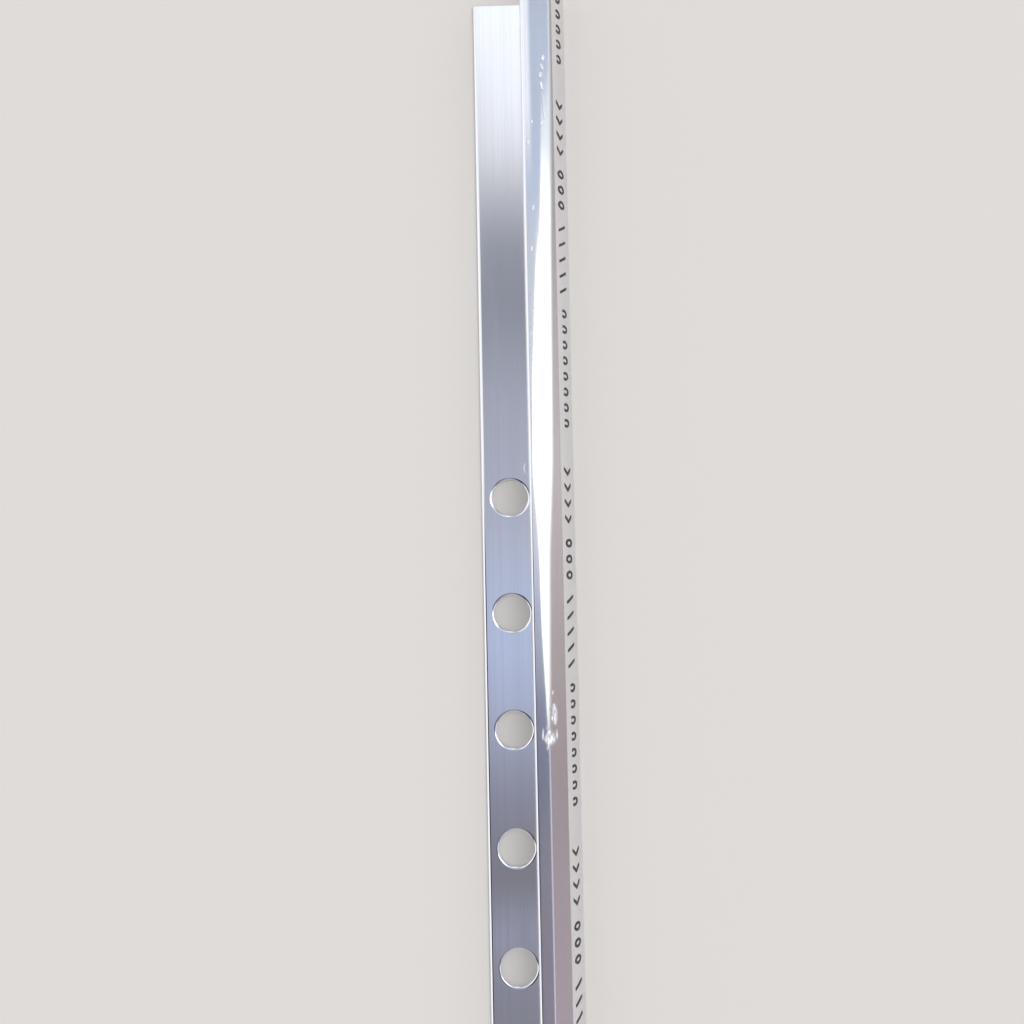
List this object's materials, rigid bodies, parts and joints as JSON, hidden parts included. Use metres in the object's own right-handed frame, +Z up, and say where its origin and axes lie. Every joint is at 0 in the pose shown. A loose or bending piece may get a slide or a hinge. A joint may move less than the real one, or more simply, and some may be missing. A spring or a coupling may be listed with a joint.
{
  "type": "tile trim strip",
  "caption": "Quarter-round aluminium tile edge trim: a flat perforated leg that beds under the tiles, and a bright rounded face under clear peel-off film.",
  "frame": {"origin": "middle of the underside, as the strip lies on its leg", "axes": "+X from the leg to the rounded face, +Y along the strip towards the end in the picture, +Z up"},
  "size_m": [0.0258, 2.5, 0.0125],
  "materials": {
    "aluminium": "bright anodised, with fine lengthwise extrusion lines",
    "clear_film": "clear glossy peel-off film",
    "print_ink": "thin dark printing ink"
  },
  "bodies": {
    "root": {"trim_profile": "aluminium", "protective_film": "clear_film"}
  },
  "joints": []
}
